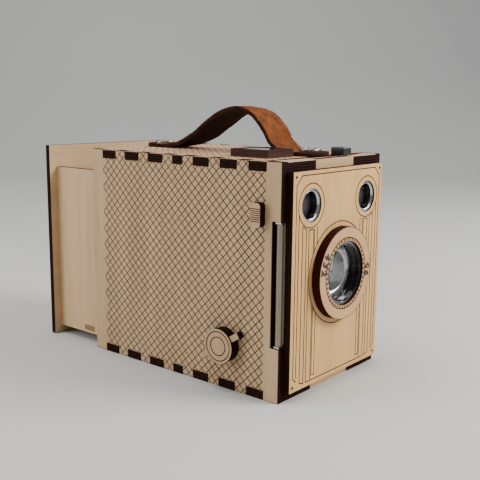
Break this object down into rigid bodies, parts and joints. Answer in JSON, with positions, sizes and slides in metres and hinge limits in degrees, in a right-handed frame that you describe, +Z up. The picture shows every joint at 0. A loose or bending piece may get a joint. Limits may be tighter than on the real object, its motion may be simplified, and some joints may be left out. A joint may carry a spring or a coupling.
{
  "type": "instant camera",
  "caption": "Box-form plywood instant camera with a twist-focus lens, finder windows, roller print exit, key-locked film drawer and a leather carrying strap.",
  "frame": {"origin": "centre of the outer plywood box (without the drawer's back plate), on the surface it rests on", "axes": "+Z up, -Y out of the lens, +Y towards the pulled-out film drawer, -X out of the patterned side with the key and the print exit"},
  "size_m": [0.0901, 0.1677, 0.1282],
  "materials": {
    "birch_ply": "sanded plywood, laser-burnt edges",
    "dark_ply": "laser-burnt plywood, dark",
    "black_plastic": "satin black",
    "bright_steel": "bright",
    "lens_glass": "polished, coated",
    "mirror_glass": "front-silvered",
    "strap_leather": "suede, dark on the flesh side",
    "print_film": "gloss"
  },
  "bodies": {
    "camera_body": {"bottom_panel": "birch_ply", "top_panel": "birch_ply", "left_side_panel": "birch_ply", "right_side_panel": "birch_ply", "front_board": "birch_ply", "front_plate": "birch_ply", "front_plate_pins": "bright_steel", "shutter_plate": "black_plastic", "shutter_pivot": "bright_steel", "shutter_spring": "bright_steel", "left_finder_tube": "bright_steel", "right_finder_tube": "bright_steel", "left_finder_lens": "lens_glass", "right_finder_lens": "lens_glass", "left_finder_mirror": "mirror_glass", "right_finder_mirror": "mirror_glass", "left_finder_cheek": "birch_ply", "right_finder_shelf": "birch_ply", "top_finder_frame": "dark_ply", "top_finder_glass": "lens_glass", "side_finder_frame": "dark_ply", "side_finder_glass": "lens_glass", "lower_roller_bearing": "bright_steel", "upper_roller_bearing": "bright_steel", "film_gate": "birch_ply", "main_mirror": "mirror_glass", "mirror_backing": "birch_ply", "button_bracket": "bright_steel", "button_spring": "bright_steel", "carrying_strap": "strap_leather", "front_strap_ring": "bright_steel", "rear_strap_ring": "bright_steel", "front_strap_rivet": "bright_steel", "rear_strap_rivet": "bright_steel"},
    "film_drawer": {"drawer_left_wall": "birch_ply", "drawer_right_wall": "birch_ply", "drawer_floor": "birch_ply", "drawer_back": "birch_ply", "film_cartridge": "black_plastic", "film_stack": "print_film", "lower_film_ledge": "birch_ply", "upper_film_ledge": "birch_ply"},
    "focus_ring": {"focus_ring": "birch_ply"},
    "lens_cell": {"lens_barrel": "black_plastic", "front_lens": "lens_glass", "lens_retaining_ring": "black_plastic"},
    "shutter_slide": {"shutter_slide": "birch_ply"},
    "shutter_blade": {"shutter_blade": "black_plastic"},
    "top_button": {"top_button": "black_plastic"},
    "drawer_key": {"drawer_key": "birch_ply", "key_bar": "birch_ply", "key_shaft": "bright_steel", "key_cam": "bright_steel"},
    "outer_roller": {"outer_roller": "bright_steel"},
    "inner_roller": {"inner_roller": "bright_steel"}
  },
  "joints": [
    {"name": "drawer_slide", "type": "slide", "parent": "camera_body", "child": "film_drawer", "axis": [0, 1, 0], "range_m": [-0.0358, 0.03]},
    {"name": "focus_turn", "type": "hinge", "parent": "camera_body", "child": "focus_ring", "pos_m": [0, -0.066, 0.0534], "axis": [0, 1, 0], "range_deg": [-34, 34]},
    {"name": "lens_travel", "type": "slide", "parent": "camera_body", "child": "lens_cell", "axis": [0, 1, 0], "range_m": [-0.00069, 0.00069]},
    {"name": "shutter_press", "type": "slide", "parent": "camera_body", "child": "shutter_slide", "axis": [0, 0, 1], "range_m": [-0.006, 0], "stiffness_N_per_m": 60, "springref_m": 0.001},
    {"name": "blade_swing", "type": "hinge", "parent": "camera_body", "child": "shutter_blade", "pos_m": [-0.013, -0.0546, 0.0624], "axis": [0, 1, 0], "range_deg": [-37.5, 0]},
    {"name": "button_press", "type": "slide", "parent": "camera_body", "child": "top_button", "axis": [0, 0, -1], "range_m": [0, 0.0015], "stiffness_N_per_m": 250, "deforming": ["button_spring"]},
    {"name": "key_turn", "type": "hinge", "parent": "camera_body", "child": "drawer_key", "pos_m": [-0.0406, -0.0303, 0.0214], "axis": [1, 0, 0], "range_deg": [0, 90]},
    {"name": "outer_roller_spin", "type": "hinge", "parent": "camera_body", "child": "outer_roller", "pos_m": [-0.0384, -0.0587, 0.0527], "axis": [0, 0, 1], "continuous": true},
    {"name": "inner_roller_spin", "type": "hinge", "parent": "camera_body", "child": "inner_roller", "pos_m": [-0.0353, -0.0587, 0.0527], "axis": [0, 0, 1], "continuous": true}
  ],
  "couplings": [
    {"joint": "focus_turn", "follows": "lens_travel", "rad_per_m": 854.7},
    {"joint": "blade_swing", "follows": "shutter_press", "rad_per_m": 108},
    {"joint": "inner_roller_spin", "follows": "outer_roller_spin", "ratio": -1}
  ]
}
